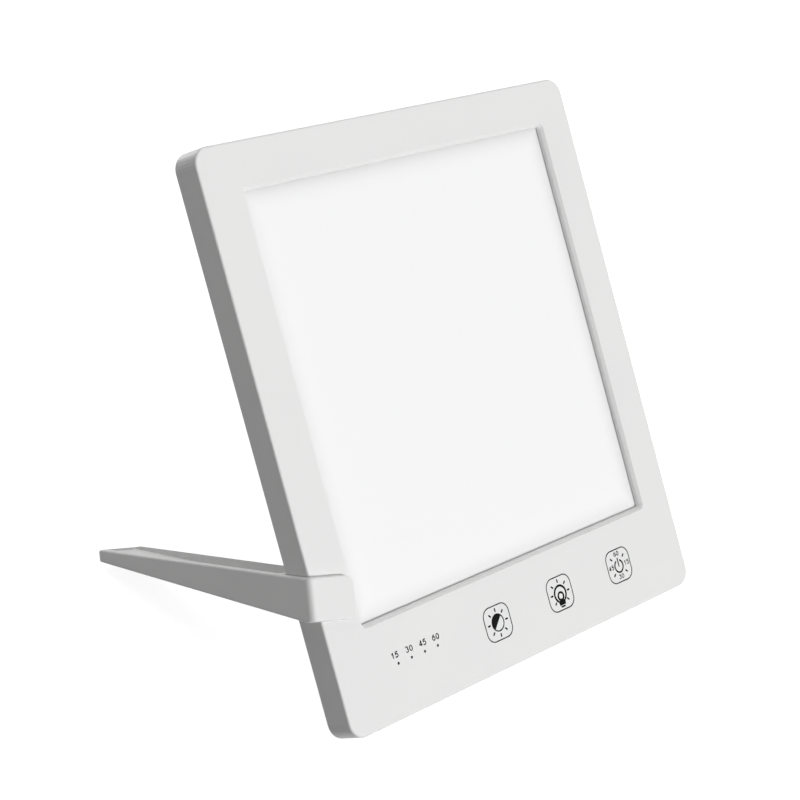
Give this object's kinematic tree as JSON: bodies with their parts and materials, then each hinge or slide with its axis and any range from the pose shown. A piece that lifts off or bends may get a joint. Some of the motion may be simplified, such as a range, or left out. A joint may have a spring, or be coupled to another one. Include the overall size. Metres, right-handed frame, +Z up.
{
  "type": "light therapy lamp",
  "caption": "Thin leaning light panel with a wide diffuser window, a touch control band and a clip-on stand that slides along its left edge.",
  "frame": {"origin": "on the table, under the middle of the lamp's bounding box, with the lamp standing as in use", "axes": "+X to the right seen from the front, +Y towards the back, +Z up; the panel faces -Y and leans back 33.4 degrees"},
  "size_m": [0.2152, 0.1542, 0.1959],
  "materials": {
    "housing_abs": "pale grey-white ABS, fine spark-eroded texture",
    "stand_abs": "pale grey-white ABS, fine spark-eroded texture",
    "cover_abs": "pale grey-white ABS, coarser texture",
    "diffuser_acrylic": "opal acrylic, satin face",
    "gasket_foam": "light grey closed-cell foam",
    "optical_film": "prismatic polyester film",
    "guide_acrylic": "clear acrylic with printed dots",
    "reflector_polyester": "white foamed polyester sheet",
    "plate_aluminium": "mill-finish aluminium sheet",
    "bar_laminate": "white solder mask",
    "led_phosphor": "yellow phosphor in a white package",
    "ribbon_polyester": "white flat cable",
    "board_laminate": "green solder mask",
    "chip_epoxy": "black moulded epoxy",
    "coil_ferrite": "dark grey ferrite",
    "can_aluminium": "drawn can",
    "connector_nylon": "natural nylon",
    "touch_foil": "copper foil on foam",
    "pipe_polycarbonate": "smoked polycarbonate",
    "jack_nylon": "black glass-filled nylon",
    "pin_brass": "nickel-washed brass",
    "screw_steel": "zinc-plated steel",
    "grip_silicone": "matt silicone"
  },
  "bodies": {
    "panel": {"front_frame": "housing_abs", "back_cover": "cover_abs", "window_gasket": "gasket_foam", "diffuser_plate": "diffuser_acrylic", "prism_film": "optical_film", "light_guide": "guide_acrylic", "reflector_sheet": "reflector_polyester", "back_plate": "plate_aluminium", "led_bar_left": "bar_laminate", "led_bar_right": "bar_laminate", "leds_left": "led_phosphor", "leds_right": "led_phosphor", "led_ribbon_left": "ribbon_polyester", "led_ribbon_right": "ribbon_polyester", "control_board": "board_laminate", "controller_chip": "chip_epoxy", "driver_chip": "chip_epoxy", "power_coil": "coil_ferrite", "capacitors": "can_aluminium", "board_connectors": "connector_nylon", "touch_pad_brightness": "touch_foil", "touch_pad_colour": "touch_foil", "touch_pad_power": "touch_foil", "timer_leds": "led_phosphor", "timer_light_pipes": "pipe_polycarbonate", "dc_jack": "jack_nylon", "jack_pin": "pin_brass", "cover_screws": "screw_steel", "board_screws": "screw_steel"},
    "stand": {"stand_bracket": "stand_abs", "grip_pad": "grip_silicone"}
  },
  "joints": [
    {"name": "stand_slide", "type": "slide", "parent": "panel", "child": "stand", "axis": [0, 0.5505, 0.8348], "range_m": [-0.034, 0.15]}
  ]
}
